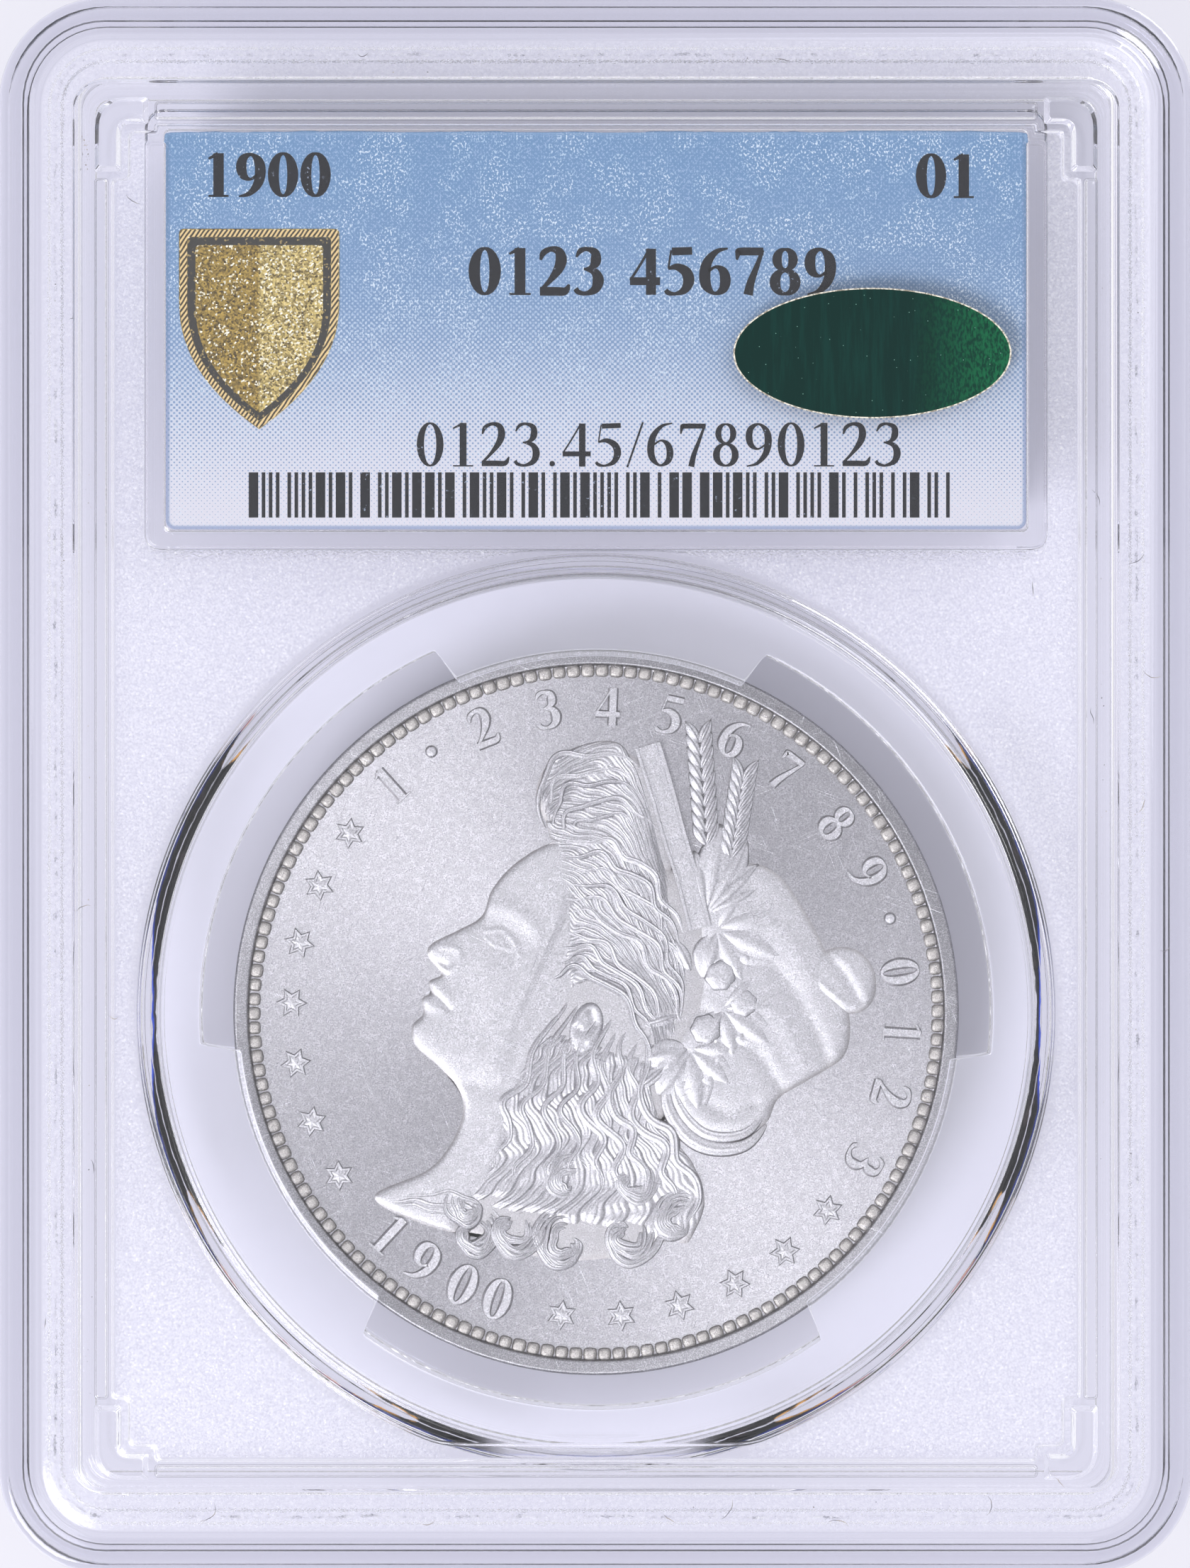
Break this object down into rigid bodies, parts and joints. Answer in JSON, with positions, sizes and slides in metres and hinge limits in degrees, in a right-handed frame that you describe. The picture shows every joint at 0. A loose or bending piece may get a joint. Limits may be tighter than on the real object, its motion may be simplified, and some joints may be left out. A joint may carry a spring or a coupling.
{
  "type": "graded coin holder",
  "caption": "Flat sealed clear plastic holder with a silver coin in a pronged insert ring behind a round window and printed cards behind a label window.",
  "frame": {"origin": "middle of the outline, on the plane that the back rests on", "axes": "+Z out of the front, +Y towards the label end, +X to the right seen from the front"},
  "size_m": [0.0626, 0.0826, 0.008],
  "materials": {
    "clear_back": "clear moulded polystyrene, glossy",
    "clear_front": "clear moulded polystyrene, glossy with frosted fields",
    "clear_ring": "clear soft plastic",
    "coin_silver": "struck silver with mint lustre",
    "label_card": "printed card, blue at the head fading to white in a dot screen",
    "gold_foil": "glittering gold foil",
    "green_foil": "metallic green foil sticker",
    "rear_card": "printed card",
    "silver_foil": "embossed silver foil",
    "tag_film": "clear amber film",
    "tag_copper": "etched copper",
    "tag_chip": "black resin"
  },
  "bodies": {
    "holder": {"back_shell": "clear_back", "front_shell": "clear_front", "coin_ring": "clear_ring", "label_card": "label_card", "foil_badge": "gold_foil", "oval_sticker": "green_foil", "rear_card": "rear_card", "security_foil": "silver_foil", "nfc_film": "tag_film", "nfc_antenna": "tag_copper", "nfc_chip": "tag_chip"},
    "coin": {"coin": "coin_silver"}
  },
  "joints": [
    {"name": "coin_spin", "type": "hinge", "parent": "holder", "child": "coin", "pos_m": [0, -0.0119, 0.004], "axis": [0, 0, 1], "continuous": true}
  ]
}
